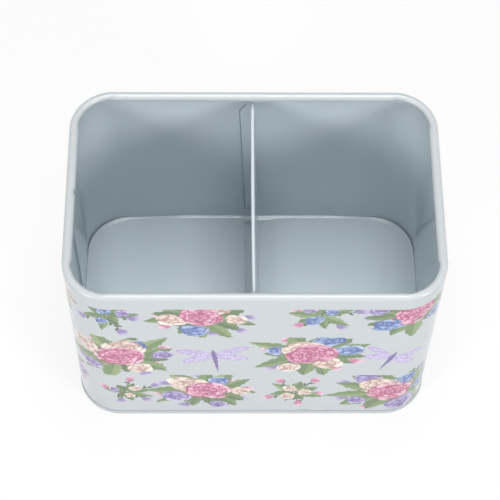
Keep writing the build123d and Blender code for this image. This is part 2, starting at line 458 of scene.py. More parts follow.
def layered(tree, layers):
    # later layers are printed over earlier ones
    color, cover = layers[0].outputs["Ink"], layers[0].outputs["Cover"]
    for layer in layers[1:]:
        top = layer.outputs["Cover"]
        color = addNode(tree, "Mix", top, color, layer.outputs["Ink"], data_type="RGBA")
        cover = addNode(tree, "Math", cover, top, operation="MAXIMUM")
    return color, cover


bloomGroup = makeBloomGroup(bloomLook)
leafGroup = makeLeafGroup(leafLook)
budGroup = makeBudGroup(budLook)
floretGroup = makeFloretGroup(floretLook, bloomGroup)


def addRings(tree, place, seed, rings):
    # leaves, buds and small flowers round one middle
    nodes = []
    for group, size, count, inner, outer, reach in rings:
        given = {"Place": place, "Seed": seed, "Count": count, "Inner": inner, "Outer": outer, size: reach}
        nodes.append(addNode(tree, "Group", given, node_tree=group))
    return nodes


def addBloom(tree, place, seed, tones, radius, petals, rings):
    given = {"Place": place, "Seed": seed, "Radius": radius, "Petals": petals, "Rings": rings}
    given |= dict(zip(toneNames, ink[tones]))
    return addNode(tree, "Group", given, node_tree=bloomGroup)


# Nosegay about 62 mm wide: buds and leaves behind, small flowers round two large ones

posy = {
    "rings": (  # what, name of its size, how many, from, to, size
        (budGroup, "Bud", 8.0, 8.0, 28.0, 3.0),
        (leafGroup, "Width", 12.0, 5.0, 37.0, 14.0),
        (floretGroup, "Size", 5.0, 9.0, 22.0, 7.2),
    ),
    "second": ("blush", 11.5, 10.0, 4.2),  # ink, radius, petals, rings of petals
    "first": ("rose", 13.0, 13.0, 5.8),
    "flatten": (1.0, 1.3, 0.0),
    "secondAt": (-9.0, 5.0, 0.0),  # mm from the first
    "secondStray": (18.0, 8.0, 0.0),  # and as much more by chance
    "chance": 3.7,
}


def makePosyGroup(look):
    tree, given, filled = newMotif("posy", ("Seed",))
    seed = given["Seed"]
    flat = addNode(tree, "VectorMath", given["Place"], look["flatten"], operation="MULTIPLY")
    key = addNode(tree, "CombineXYZ", seed, look["chance"])
    dice = addNode(tree, "TexWhiteNoise", key, noise_dimensions="2D").outputs["Color"]
    swing = addNode(tree, "VectorMath", dice, look["secondStray"], operation="MULTIPLY")
    swing = addNode(tree, "VectorMath", swing, look["secondAt"], operation="ADD")
    aside = addNode(tree, "VectorMath", flat, swing, operation="SUBTRACT")
    layers = addRings(tree, flat, seed, look["rings"])
    layers.append(addBloom(tree, aside, seed, *look["second"]))
    layers.append(addBloom(tree, flat, seed, *look["first"]))
    return fillMotif(tree, filled, *layered(tree, layers))


# Small spray between the posies

sprig = {
    "rings": (
        (budGroup, "Bud", 5.0, 1.0, 20.0, 2.5),
        (leafGroup, "Width", 7.0, 0.5, 18.0, 8.0),
        (floretGroup, "Size", 3.0, 1.0, 8.0, 4.2),
    ),
}


def makeSprigGroup(look):
    tree, given, filled = newMotif("sprig", ("Seed",))
    rings = addRings(tree, given["Place"], given["Seed"], look["rings"])
    return fillMotif(tree, filled, *layered(tree, rings))


# Lilac dragonfly about 34 mm across: two pairs of veined wings and a thin body

dragonfly = {
    "wings": (  # middle, tilt, half length, half width
        ((9.0, 4.4, 0.0), 0.38, 8.8, 2.9),
        ((8.0, -2.2, 0.0), -0.3, 8.0, 3.1),
    ),
    "wingEdge": (1.0, 0.97),
    "wingOutline": (0.8, 0.95),
    "veinCell": 2.0,  # mm
    "veinScatter": 0.9,
    "vein": (0.16, 0.04),
    "veinInk": 0.8,
    "taper": (-15.0, 5.0, 0.5, 1.5),  # two heights on the body, and its half width at each
    "bodyMiddle": 5.0,
    "bodyShort": 0.085,
    "bodyEdge": (1.1, 0.9),
}


def makeDragonflyGroup(look):
    tree, given, filled = newMotif("dragonfly", ("Seed",))
    mirrored = addNode(tree, "VectorMath", given["Place"], operation="ABSOLUTE")
    x = addNode(tree, "SeparateXYZ", mirrored).outputs["X"]
    y = addNode(tree, "SeparateXYZ", given["Place"]).outputs["Y"]
    flank = addNode(tree, "CombineXYZ", x, y)
    wings = []
    for middle, tilt, length, width in look["wings"]:
        wing = addNode(tree, "VectorMath", flank, middle, operation="SUBTRACT")
        wing = addNode(tree, "VectorRotate", {"Vector": wing, "Angle": -tilt}, rotation_type="Z_AXIS")
        wing = addNode(tree, "VectorMath", wing, (1 / length, 1 / width, 0.0), operation="MULTIPLY")
        wings.append(addNode(tree, "VectorMath", wing, operation="LENGTH"))
    nearest = addNode(tree, "Math", *wings, operation="MINIMUM")
    slim = addNode(tree, "Math", x, addNode(tree, "MapRange", y, *look["taper"]), operation="DIVIDE")
    ends = addNode(tree, "Math", y, look["bodyMiddle"], operation="ADD")
    ends = addNode(tree, "Math", ends, look["bodyShort"], operation="MULTIPLY")
    trunk = addNode(tree, "VectorMath", addNode(tree, "CombineXYZ", slim, ends), operation="LENGTH")
    onBody = addNode(tree, "MapRange", trunk, *look["bodyEdge"])
    onWing = addNode(tree, "MapRange", nearest, *look["wingEdge"])
    cells = {"Vector": flank, "Scale": 1 / look["veinCell"], "Randomness": look["veinScatter"]}
    vein = addNode(tree, "TexVoronoi", cells, feature="DISTANCE_TO_EDGE")
    vein = addNode(tree, "MapRange", vein, *look["vein"])
    outline = addNode(tree, "MapRange", nearest, *look["wingOutline"])
    mark = addNode(tree, "Math", vein, outline, operation="MAXIMUM")
    mark = addNode(tree, "Math", mark, look["veinInk"], operation="MULTIPLY")
    dark, middle, pale = ink["lilac"]
    color = addNode(tree, "Mix", mark, pale, middle, data_type="RGBA")
    color = addNode(tree, "Mix", onBody, color, dark, data_type="RGBA")
    return fillMotif(tree, filled, color, addNode(tree, "Math", onBody, onWing, operation="MAXIMUM"))


posyGroup = makePosyGroup(posy)
sprigGroup = makeSprigGroup(sprig)
dragonflyGroup = makeDragonflyGroup(dragonfly)
print("print motifs ready")

# Printed tin: white enamel, four-colour litho inks and a clear varnish, all on smooth rolled tinplate.
# It gives the eye a bright, slightly wet gloss with a faint orange peel and soft-edged inks.

printedTin = {
    "enamel": "#c0c5c8",
    "posiesRound": 6.0,  # round the whole box, so that the pattern closes on itself
    "motifs": (  # what, how far along in pitches, key of its chances
        (sprigGroup, 0.62, 31.0),
        (dragonflyGroup, 0.62, 17.0),
        (posyGroup, 0.12, 7.0),
    ),
    "rowHeight": 46.0,
    "rowStart": 5.0,
    "tilt": (1.0, -0.5),  # radians by chance, and what centres them
    "shift": (14.0, 6.0, 0.0),  # mm by chance, and what centres them
    "shiftBack": (-7.0, -3.0, 0.0),
    "shrink": (0.2, 0.84),
    "seeds": 40.0,
    "printFoot": 4.8,
    "printHead": 129.0,
    "seamMargin": 4.6,  # bare enamel each side of the side seam
    "wander": 1.0,  # mm that the brush edge strays
    "wanderSize": 2.381,  # mm from one stray to the next
    "washSize": 1.1111,  # mm across a thin place in the ink
    "washEnds": (0.3, 0.7),
    "wash": (0.82, 1.0),
    "inkStrength": 0.96,
    "roughness": (0.08, 0.2),
    "film": 25.0,  # mm across a patch of thicker varnish
    "filmDetail": 2.0,
    "peel": 1.3,  # mm between the varnish's ripples
    "ior": 1.5,
}


# All three coats share these
coats = {
    "rippleDepth": 0.02,  # mm
    "rippleShow": 0.25,  # share of it that shows
    "patch": 55.556,  # mm across a place where a plain coat is a little thicker
    "deep": 0.93,  # and so deeper in tone
}


def addCoat(tree, paint, inSpace, look):
    # a glossy coat over the paint, faintly rippled, and rougher in some patches than in others
    ripple = addNode(tree, "TexNoise", {"Vector": inSpace, "Scale": 1 / (look["peel"] * mm), "Detail": 1.0})
    depth = coats["rippleDepth"] * mm
    bump = addNode(tree, "Bump", {"Height": ripple, "Strength": coats["rippleShow"], "Distance": depth})
    film = {"Vector": inSpace, "Scale": 1 / (look["film"] * mm), "Detail": look["filmDetail"]}
    gloss = addNode(tree, "MapRange", addNode(tree, "TexNoise", film), 0.0, 1.0, *look["roughness"])
    surface = {"Base Color": paint, "Roughness": gloss, "Normal": bump, "IOR": look["ior"]}
    addNode(tree, "OutputMaterial", {"Surface": addNode(tree, "BsdfPrincipled", surface)})


def addMotif(tree, look, grid, motif):
    # one kind of motif, once in each cell of the pattern, each tilted, shifted and sized by chance
    group, lead, key = motif
    shifted = addNode(tree, "Math", grid["odd"], 0.5, grid["columns"], operation="MULTIPLY_ADD")
    shifted = addNode(tree, "Math", shifted, lead, operation="ADD")
    column = addNode(tree, "Math", shifted, operation="FLOOR")
    column = addNode(tree, "Math", column, look["posiesRound"], operation="FLOORED_MODULO")
    u = addNode(tree, "Math", shifted, 1.0, operation="FLOORED_MODULO")
    v = addNode(tree, "Math", grid["rows"], 1.0, operation="FLOORED_MODULO")
    local = addNode(tree, "CombineXYZ", u, v)
    local = addNode(tree, "VectorMath", local, (0.5, 0.5, 0.0), operation="SUBTRACT")
    local = addNode(tree, "VectorMath", local, grid["cell"], operation="MULTIPLY")
    name = addNode(tree, "CombineXYZ", column, grid["row"], key)
    dice = addNode(tree, "TexWhiteNoise", name, noise_dimensions="3D").outputs
    angle = addNode(tree, "Math", dice["Value"], *look["tilt"], operation="MULTIPLY_ADD")
    turn = {"Vector": local, "Angle": angle}
    local = addNode(tree, "VectorRotate", turn, rotation_type="Z_AXIS")
    aside = addNode(tree, "VectorMath", dice["Color"], look["shift"], operation="MULTIPLY")
    local = addNode(tree, "VectorMath", local, aside, operation="ADD")
    local = addNode(tree, "VectorMath", local, look["shiftBack"], operation="ADD")
    size = addNode(tree, "SeparateXYZ", dice["Color"]).outputs["Z"]
    size = addNode(tree, "Math", size, *look["shrink"], operation="MULTIPLY_ADD")
    local = addNode(tree, "VectorMath", local, size, operation="SCALE")
    seed = addNode(tree, "Math", dice["Value"], look["seeds"], key, operation="MULTIPLY_ADD")
    seed = addNode(tree, "Math", seed, operation="FLOOR")
    return addNode(tree, "Group", {"Place": local, "Seed": seed}, node_tree=group).outputs


def addPrintZone(tree, look, sheet, seamAt):
    # the print stops in a straight line under the rim, above the base seam and beside the side seam
    straight = addNode(tree, "SeparateXYZ", sheet).outputs
    below = addNode(tree, "Math", straight["Y"], look["printHead"], operation="LESS_THAN")
    above = addNode(tree, "Math", straight["Y"], look["printFoot"], operation="GREATER_THAN")
    fromSeam = addNode(tree, "Math", straight["X"], seamAt, operation="SUBTRACT")
    fromSeam = addNode(tree, "Math", fromSeam, operation="ABSOLUTE")
    clear = addNode(tree, "Math", fromSeam, look["seamMargin"], operation="GREATER_THAN")
    zone = addNode(tree, "Math", below, above, operation="MULTIPLY")
    return addNode(tree, "Math", zone, clear, operation="MULTIPLY")


def makePrintedTin(look, wallLength, seamAt):
    material, tree = newMaterial("litho printed tinplate, clear varnish")
    onSheet = addNode(tree, "UVMap", uv_map="sheet").outputs["UV"]
    sheet = addNode(tree, "VectorMath", onSheet, 1 / mm, operation="SCALE")
    noise = {"Vector": sheet, "Scale": 1 / look["wanderSize"], "Detail": 2.0}
    noise = addNode(tree, "TexNoise", noise).outputs["Color"]
    stray = addNode(tree, "VectorMath", noise, (0.5, 0.5, 0.5), operation="SUBTRACT")
    stray = addNode(tree, "VectorMath", stray, 2 * look["wander"], operation="SCALE")
    spot = addNode(tree, "SeparateXYZ", addNode(tree, "VectorMath", sheet, stray, operation="ADD")).outputs
    pitch = wallLength / look["posiesRound"]
    rows = addNode(tree, "Math", spot["Y"], look["rowStart"], operation="SUBTRACT")
    rows = addNode(tree, "Math", rows, look["rowHeight"], operation="DIVIDE")
    row = addNode(tree, "Math", rows, operation="FLOOR")
    odd = addNode(tree, "Math", row, 2.0, operation="FLOORED_MODULO")
    columns = addNode(tree, "Math", spot["X"], pitch, operation="DIVIDE")
    # each odd row is set half a pitch along, and what lies between the posies half a pitch from them
    grid = {"rows": rows, "row": row, "odd": odd, "columns": columns}
    grid["cell"] = (pitch, look["rowHeight"], 0.0)
    sprigs, dragonflies, posies = [addMotif(tree, look, grid, motif) for motif in look["motifs"]]
    color = addNode(tree, "Mix", odd, sprigs["Ink"], dragonflies["Ink"], data_type="RGBA")
    cover = addNode(tree, "Mix", {"Factor": odd, "A": sprigs["Cover"], "B": dragonflies["Cover"]})
    color = addNode(tree, "Mix", posies["Cover"], color, posies["Ink"], data_type="RGBA")
    cover = addNode(tree, "Math", cover, posies["Cover"], operation="MAXIMUM")
    wash = {"Vector": sheet, "Scale": 1 / look["washSize"], "Detail": 3.0}
    wash = addNode(tree, "MapRange", addNode(tree, "TexNoise", wash), *look["washEnds"], *look["wash"])
    amount = addNode(tree, "Math", cover, addPrintZone(tree, look, sheet, seamAt), operation="MULTIPLY")
    amount = addNode(tree, "Math", amount, wash, operation="MULTIPLY")
    amount = addNode(tree, "Math", amount, look["inkStrength"], operation="MULTIPLY")
    paint = addNode(tree, "Mix", amount, hexToLinear(look["enamel"]), color, data_type="RGBA")
    addCoat(tree, paint, addNode(tree, "TexCoord").outputs["Object"], look)
    return material


# Plain enamel: the same white coat with no print, on the base's outer side.
# It gives the eye an even, slightly duller white.

plainEnamel = {
    "color": "#c0c5c8",
    "roughness": (0.19, 0.3),
    "film": 33.333,
    "filmDetail": 3.0,
    "peel": 1.3,
    "ior": 1.5,
}

# Blue-grey lacquer inside: a baked gloss lacquer, rolled on the flat tin before it was formed.
# It gives the eye a cool sheen with soft mirror images of the floor in the walls.

insideLacquer = {
    "color": "#cdd8de",
    "roughness": (0.05, 0.16),
    "film": 33.333,
    "filmDetail": 3.0,
    "peel": 1.6,
    "ior": 1.6,
}


def makeCoat(name, look):
    material, tree = newMaterial(name)
    inSpace = addNode(tree, "TexCoord").outputs["Object"]
    base = hexToLinear(look["color"])
    deep = [c * coats["deep"] for c in base[:3]] + [1.0]
    patch = addNode(tree, "TexNoise", {"Vector": inSpace, "Scale": 1 / (coats["patch"] * mm), "Detail": 3.0})
    addCoat(tree, addNode(tree, "Mix", patch, deep, base, data_type="RGBA"), inSpace, look)
    return material


# Cut tin: the sheared edge of the sheet, bare and finely grained.
# It gives the eye a thin grey metal line; laid as a strip along the divider's flange edges it is also
# painted shade.

cutTin = {
    "color": "#9aa4aa",
    "roughness": (0.25, 0.45),
    "grain": 1.1111,  # mm, drawn coarser than real grain so that it shows
}


def makeCutTin(look):
    material, tree = newMaterial("sheared tinplate edge")
    inSpace = addNode(tree, "TexCoord").outputs["Object"]
    grain = addNode(tree, "TexNoise", {"Vector": inSpace, "Scale": 1 / (look["grain"] * mm), "Detail": 2.0})
    gloss = addNode(tree, "MapRange", grain, 0.0, 1.0, *look["roughness"])
    surface = {"Base Color": hexToLinear(look["color"]), "Metallic": 1.0, "Roughness": gloss}
    addNode(tree, "OutputMaterial", {"Surface": addNode(tree, "BsdfPrincipled", surface)})
    return material


# Sizes shared by the sheet-metal pieces, in mm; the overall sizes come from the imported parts

baseLow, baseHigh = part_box("base_panel")
wallLow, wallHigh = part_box("body_wall")

tin = {
    "sheet": 0.3,
    "cornerRadius": 24.0,
    "seamProud": 0.5,
    "seamHeight": 2.8,
    "neckStart": 2.82,
    "neckRise": 0.42,
    "hookSlack": 0.1,
}
weld = 0.002 * mm  # points nearer than this become one
boxWidth = (baseHigh.x - baseLow.x) / mm - 2 * tin["seamProud"]
boxDepth = (baseHigh.y - baseLow.y) / mm - 2 * tin["seamProud"]
boxHeight = wallHigh.z / mm

# middle of each layer of the base seam, inward from the wall's outer face, then up from the table
wallLayer = tin["sheet"] / 2
outerLayer = tin["sheet"] / 2 - tin["seamProud"]
wallHookLayer = outerLayer + tin["sheet"]
baseHookLayer = wallHookLayer + tin["sheet"]
neckLayer = baseHookLayer + tin["sheet"]
skirtLayer = neckLayer + tin["sheet"]
underLayer = tin["sheet"] / 2
footLayer = underLayer + tin["sheet"]
overLayer = tin["seamHeight"] - tin["sheet"] / 2


def bentLine(corners, radii, steps=5):
    # straight runs, with each inner corner rounded to its own radius
    points = [Vector(p) for p in corners]
    line = [points[0]]
    for before, corner, after, radius in zip(points, points[1:], points[2:], radii):
        into = (corner - before).normalized()
        out = (after - corner).normalized()
        turn = math.atan2(into.x * out.y - into.y * out.x, into.dot(out))
        start = corner - into * radius * math.tan(abs(turn) / 2)
        toCentre = Vector((-into.y, into.x)) * math.copysign(radius, turn)
        for k in range(steps + 1):
            line.append(start + toCentre - turned(toCentre, turn * k / steps))
    return line + [points[-1]]


def turned(vector, angle):
    c, s = math.cos(angle), math.sin(angle)
    return Vector((vector.x * c - vector.y * s, vector.x * s + vector.y * c))


def sheetFaces(line, thickness):
    # the sheet's two faces, to the left and the right of the line's direction
    left, right = [], []
    for i, point in enumerate(line):
        along = line[min(i + 1, len(line) - 1)] - line[max(i - 1, 0)]
        out = turned(along.normalized(), math.pi / 2) * thickness / 2
        left.append(point + out)
        right.append(point - out)
    return left, right


# Side seam, at the middle of the left side

lock = {
    "shift": 2.5,  # this far behind the middle
    "width": 4.6,
    "pitch": 0.3,
    "jog": 2.4,
    "foot": 7.0,
    "head": 9.0,
    "fade": 0.8,  # height over which its folds set in and end
    "foldRadius": 0.13,
    "lapAhead": 1.9,  # the rim's tight roll lies this much nearer the front than the seam
    "lapLength": 2.4,
    "lapDiameter": 4.4,
    "lapBlend": 0.7,
    "zone": 16.0,  # stretch of wall drawn with close stations
}
spacing = {"long": 3.2, "close": 0.2, "corner": 22}  # of the stations: mm, mm, and how many to a corner


def wallStations(spacing):
    # once round the wall: place, inward direction, distance walked, share of a corner passed
    radius = tin["cornerRadius"]
    halfX, halfY = boxWidth / 2, boxDepth / 2
    start = lock["shift"] + lock["zone"] / 2
    runs = [
        ((-halfX, start), (-halfX, start - lock["zone"])),
        ((-halfX, start - lock["zone"]), (-halfX, radius - halfY)),
        ((radius - halfX, -halfY), (halfX - radius, -halfY)),
        ((halfX, radius - halfY), (halfX, halfY - radius)),
        ((halfX - radius, halfY), (radius - halfX, halfY)),
        ((-halfX, halfY - radius), (-halfX, start)),
    ]
    stations, walked = [], 0.0
    for number, (begin, end) in enumerate(runs):
        begin, end = Vector(begin), Vector(end)
        inward = turned((end - begin).normalized(), math.pi / 2)
        # only the first run, over the side seam, is drawn closely
        count = math.ceil((end - begin).length / spacing["long" if number else "close"])
        for k in range(count):
            stations.append((begin.lerp(end, k / count), inward, walked, 0.0))
            walked += (end - begin).length / count
        if 0 < number < len(runs) - 1:
            centre = end + inward * radius
            for k in range(spacing["corner"]):
                share = k / spacing["corner"]
                facing = turned(inward, math.pi / 2 * share)
                stations.append((centre - facing * radius, facing, walked, share))
                walked += math.pi / 2 * radius / spacing["corner"]
    return stations, walked


stations, wallLength = wallStations(spacing)

# Body wall: one strip from the hook, up the neck and the wall, into the curl

wall = {
    "curlDiameter": 5.1,
    "curlTurn": 315.0,
    "curlSteps": 36,
    "riseSteps": 26,
    "hookBend": 0.16,  # mid-sheet radius of the hook's folds
    "neckBend": 0.45,
    "neckRun": 1.5,
    "bow": 0.22,  # how far the flat sides are sprung in
    "bowFull": 60.0,  # height over which they spring in
    "bowEnd": (118.0, 18.0),  # height where they start back, and over which
    "bowRipple": 0.35,
    "bowTurns": (0.07, 0.09, 0.045),  # radians per mm along each axis
    "cornerCurl": 0.87,  # the rim is rolled tighter round the corners
    "cornerRun": 3.0,  # mm over which that sets in
    "cornerRipple": 0.012,
    "rippleHalves": 9,  # half waves round one corner
    "rippleRun": 4.0,
    "pinch": 0.045,  # and pinched where each corner starts
    "pinchPlace": 1.6,
    "pinchWidth": 0.9,
    "creaseDepth": 0.07,  # of the roll's radius: the crease along its top in the corners
    "creaseAt": 78.0,  # degrees of roll
    "creaseWidth": 15.0,
    "creaseRun": 5.0,
}


def bodyLine(curlDiameter, crease):
    # mid-sheet line, with as many points whatever the curl
    hookTip = overLayer - tin["sheet"] / 2 - tin["hookSlack"]
    radius = (curlDiameter - tin["sheet"]) / 2
    centre = Vector((wallLayer + radius, boxHeight - curlDiameter / 2))
    neckEnd = tin["neckStart"] + tin["neckRise"]
    line = bentLine(
        [
            (wallHookLayer, hookTip),
            (wallHookLayer, footLayer),
            (neckLayer, footLayer),
            (neckLayer, tin["neckStart"]),
            (wallLayer, neckEnd),
            (wallLayer, neckEnd + wall["neckRun"]),
        ],
        [wall["hookBend"], wall["hookBend"], wall["neckBend"], wall["neckBend"]],
    )
    bottom = line[-1].y
    rise = (centre.y - bottom) / wall["riseSteps"]
    rises = [bottom + rise * (k + 1) for k in range(wall["riseSteps"])]
    # the side seam's folds set in and end at heights of their own
    for height, away in ((lock["foot"], lock["fade"]), (boxHeight - lock["head"], -lock["fade"])):
        rises += [height, height + away]
    line += [Vector((wallLayer, height)) for height in sorted(rises)]
    for k in range(wall["curlSteps"]):
        angle = wall["curlTurn"] * (k + 1) / wall["curlSteps"]
        dent = math.exp(-((angle - wall["creaseAt"]) / wall["creaseWidth"]) ** 2)
        reach = radius * (1 - crease * wall["creaseDepth"] * dent)
        line.append(centre + turned(Vector((-reach, 0)), -math.radians(angle)))
    return line


def fromCorner(cornerShare):
    # mm from the nearer end of the corner that a station lies in
    return min(cornerShare, 1 - cornerShare) * math.pi / 2 * tin["cornerRadius"]


def curlAt(walked, cornerShare):
    # diameter of the rim's roll at one station
    fromLap = abs(walked - lock["zone"] / 2 - lock["lapAhead"]) - lock["lapLength"] / 2
    if fromLap < lock["lapBlend"]:
        lap = 1 - smooth(fromLap / lock["lapBlend"])
        return wall["curlDiameter"] * (1 - lap) + lock["lapDiameter"] * lap
    if cornerShare == 0.0:
        return wall["curlDiameter"]
    fromEnd = fromCorner(cornerShare)
    tight = 1 - (1 - wall["cornerCurl"]) * smooth(fromEnd / wall["cornerRun"])
    ripple = math.sin(cornerShare * math.pi * wall["rippleHalves"]) * smooth(fromEnd / wall["rippleRun"])
    pinch = math.exp(-((fromEnd - wall["pinchPlace"]) / wall["pinchWidth"]) ** 2)
    return wall["curlDiameter"] * (tight + wall["cornerRipple"] * ripple - wall["pinch"] * pinch)


def bowAt(place, up):
    # the flat sides spring in a little between the corners
    flatX = boxWidth / 2 - tin["cornerRadius"]
    flatY = boxDepth / 2 - tin["cornerRadius"]
    across = place.x / flatX if abs(place.y) > flatY and abs(place.x) < flatX else place.y / flatY
    share = max(0.0, 1 - across ** 2)
    start, run = wall["bowEnd"]
    height = smooth(up / wall["bowFull"]) * (1 - smooth((up - start) / run))
    ripple = wall["bowRipple"] * math.sin(Vector((place.x, place.y, up)).dot(Vector(wall["bowTurns"])))
    return wall["bow"] * share * height * (1 + ripple)


def lockAt(walked, up, side):
    # how far the side seam's folds move one face of the sheet inward
    along = lock["zone"] / 2 - walked  # towards the back
    half, jog, depth = lock["width"] / 2, lock["jog"], 3 * lock["pitch"]
    belowHead = boxHeight - lock["head"] - up
    ends = smooth((up - lock["foot"]) / lock["fade"]) * smooth(belowHead / lock["fade"])
    step = smooth((half + jog - along) / jog)
    fold = (along - half) if side == "outer" else (along + half)
    return depth * step * smooth(fold / lock["foldRadius"] + 0.5) * ends


def addFace(bm, corners, coat):
    face = bm.faces.new(corners)
    face.material_index = coat
    face.smooth = True
    return face


def sweepSheet(facesAt, shiftAt):
    # a strip closed on itself round all stations; facesAt gives the two faces' points at a station
    bm = bmesh.new()
    onSheet = bm.loops.layers.uv.new("sheet")
    rings = []
    for place, inward, walked, share in stations:
        ring = []
        for side, points in zip(("outer", "inner"), facesAt(place, inward, walked, share)):
            row = []
            for point in points:
                at = place + inward * (point.x + shiftAt(place, walked, point, side))
                row.append(bm.verts.new((at.x * mm, at.y * mm, point.y * mm)))
            ring.append((row, points))
        rings.append((ring, walked))
    for (ring, walked), (following, nextWalked) in zip(rings, rings[1:] + rings[:1]):
        nextWalked = nextWalked or wallLength
        for side in (0, 1):
            (row, points), (other, _) = ring[side], following[side]
            for j in range(len(row) - 1):
                face = bm.faces.new((row[j], other[j], other[j + 1], row[j + 1]))
                face.material_index = side
                face.smooth = True
                low, high = points[j].y, points[j + 1].y
                corners = ((walked, low), (nextWalked, low), (nextWalked, high), (walked, high))
                for loop, corner in zip(face.loops, corners):
                    loop[onSheet].uv = Vector(corner) * mm
    return bm, rings


def closeEdge(bm, rings, end):
    # the sheared edge between the two faces, at the first or the last point of the line
    for (ring, _), (following, _) in zip(rings, rings[1:] + rings[:1]):
        corners = (ring[0][0][end], following[0][0][end], following[1][0][end], ring[1][0][end])
        bm.faces.new(corners).material_index = 2


def finishPiece(name, bm, materials, node, sharpAngle=50):
    bmesh.ops.recalc_face_normals(bm, faces=bm.faces)
    mesh = bpy.data.meshes.new(name)
    bm.to_mesh(mesh)
    bm.free()
    mesh.set_sharp_from_angle(angle=math.radians(sharpAngle))
    for material in materials:
        mesh.materials.append(material)
    piece = addObject(name, mesh)
    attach(piece, "root")
    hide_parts(node)
    print(name, len(mesh.polygons), "faces")
    return piece


printed = makePrintedTin(printedTin, wallLength, lock["zone"] / 2)
enamel = makeCoat("plain white enamel", plainEnamel)
lacquer = makeCoat("blue-grey baked lacquer", insideLacquer)
edge = makeCutTin(cutTin)
print("materials ready")


def bodyFaces(place, inward, walked, share):
    crease = smooth(fromCorner(share) / wall["creaseRun"])
    return sheetFaces(bodyLine(curlAt(walked, share), crease), tin["sheet"])


def bodyShift(place, walked, point, side):
    return bowAt(place, point.y) + lockAt(walked, point.y, side)


bm, rings = sweepSheet(bodyFaces, bodyShift)
for end in (0, -1):
    closeEdge(bm, rings, end)
finishPiece("printed_wall", bm, (printed, lacquer, edge), "body_wall")

# Base panel: floor, shoulder, skirt, then under the wall's foot and hooked over it

base = {
    "floorHeight": 6.0,
    "slope": 1.5,  # the floor's edge rises gently to the wall over this width
    "slopeRise": 0.5,
    "edgeRadius": 27.5,  # the slope's foot turns the corners wider than the wall does
    "edgeFollow": 0.3,  # share of that by which the slope's top leaves the wall there
    "lean": 0.465,  # and its skirt leans on the wall at the top
    "ledge": 6.0,
    "skirtTop": 0.8,  # under the floor, where the skirt starts to slant away from the wall
    "skirtFoot": 1.9,  # and where it is clear of it
    "bends": (0.7, 0.16, 0.6, 0.6, 0.45, 0.45, 0.29, 0.29),  # mid-sheet radii, from the floor outward
    "dish": 0.35,  # the middle of the floor lies this much lower
    "lift": 1.8,  # and its edge bows up by this much along the back
    "liftAt": 4.0,
    "liftHalf": 77.0,  # how far to each side of that it reaches
    "liftRun": 36.0,
    "liftFrom": -45.0,  # and from how far forward it rises
    "dimple": 0.4,  # beside the divider, this share of the bow is pressed flat
    "flare": 0.8,  # and the slope is this much wider
    "dimpleAt": 7.0,
    "dimpleWidth": 8.0,
    "rings": (0.12, 0.26, 0.42, 0.58, 0.74, 0.88, 1.0),
}


def dimpleShare(x):
    return math.exp(-((x - base["dimpleAt"]) / base["dimpleWidth"]) ** 2)


def riseAt(x, y):
    # how far the pressed floor bows up at one place
    along = smooth((base["liftHalf"] - abs(x - base["liftAt"])) / base["liftRun"])
    back = smooth((y - base["liftFrom"]) / (boxDepth / 2 - base["liftFrom"]))
    return base["lift"] * along * (1 - base["dimple"] * dimpleShare(x)) * back


def cornerInset(place, inward, inset, radius):
    # distance inward from a station to an outline that turns the corners with its own radius
    centreX = boxWidth / 2 - inset - radius
    centreY = boxDepth / 2 - inset - radius
    toStation = Vector((abs(place.x) - centreX, abs(place.y) - centreY))
    if min(toStation) <= 0:
        return inset
    outward = Vector((abs(inward.x), abs(inward.y)))
    along = toStation.dot(outward)
    return along - math.sqrt(along ** 2 - toStation.length_squared + radius ** 2)


def baseFaces(place, inward, walked, share):
    rise = riseAt(place.x, place.y)
    floorLayer = base["floorHeight"] - tin["sheet"] / 2
    wide = 1 + base["flare"] * dimpleShare(place.x) * (place.y > 0)
    foot = cornerInset(place, inward, base["lean"] + base["slope"], base["edgeRadius"])
    top = base["lean"] + base["edgeFollow"] * (foot - base["lean"] - base["slope"])
    foot += base["slope"] * (wide - 1)
    line = bentLine(
        [
            (foot + base["ledge"], floorLayer + rise),
            (foot, floorLayer + rise),
            (top, floorLayer + base["slopeRise"] * wide + rise),
            (top, floorLayer - base["skirtTop"]),
            (skirtLayer, floorLayer - base["skirtFoot"]),
            (skirtLayer, underLayer),
            (outerLayer, underLayer),
            (outerLayer, overLayer),
            (baseHookLayer, overLayer),
            (baseHookLayer, footLayer + tin["sheet"] / 2 + tin["hookSlack"]),
        ],
        base["bends"],
    )
    return sheetFaces(line, tin["sheet"])


def fillFloor(bm, rings):
    # both faces of the floor, from the ledge in to the middle line
    reach = boxWidth / 2 - boxDepth / 2
    for side in (0, 1):
        last = [ring[side][0][0] for ring, _ in rings]
        rim = [v.co.copy() for v in last]
        level = min(start.z for start in rim)  # of the floor without its bow
        for share in base["rings"]:
            row = []
            for start in rim:
                middle = Vector((min(max(start.x / mm, -reach), reach) * mm, 0, start.z))
                at = start.lerp(middle, share)
                spare = start.z - level - riseAt(start.x / mm, start.y / mm) * mm
                at.z = level + riseAt(at.x / mm, at.y / mm) * mm + spare * (1 - share)
                at.z -= base["dish"] * mm * smooth(share)
                row.append(bm.verts.new(at))
            for i in range(len(row)):
                k = (i + 1) % len(row)
                addFace(bm, (last[i], last[k], row[k], row[i]), side)
            last = row
    bmesh.ops.remove_doubles(bm, verts=bm.verts, dist=weld)


bm, rings = sweepSheet(baseFaces, lambda place, walked, point, side: 0.0)
closeEdge(bm, rings, -1)
fillFloor(bm, rings)
finishPiece("base_floor", bm, (enamel, lacquer, edge), "base_panel")

# Divider: one folded sheet, with a bead along its top and a flange along each other edge

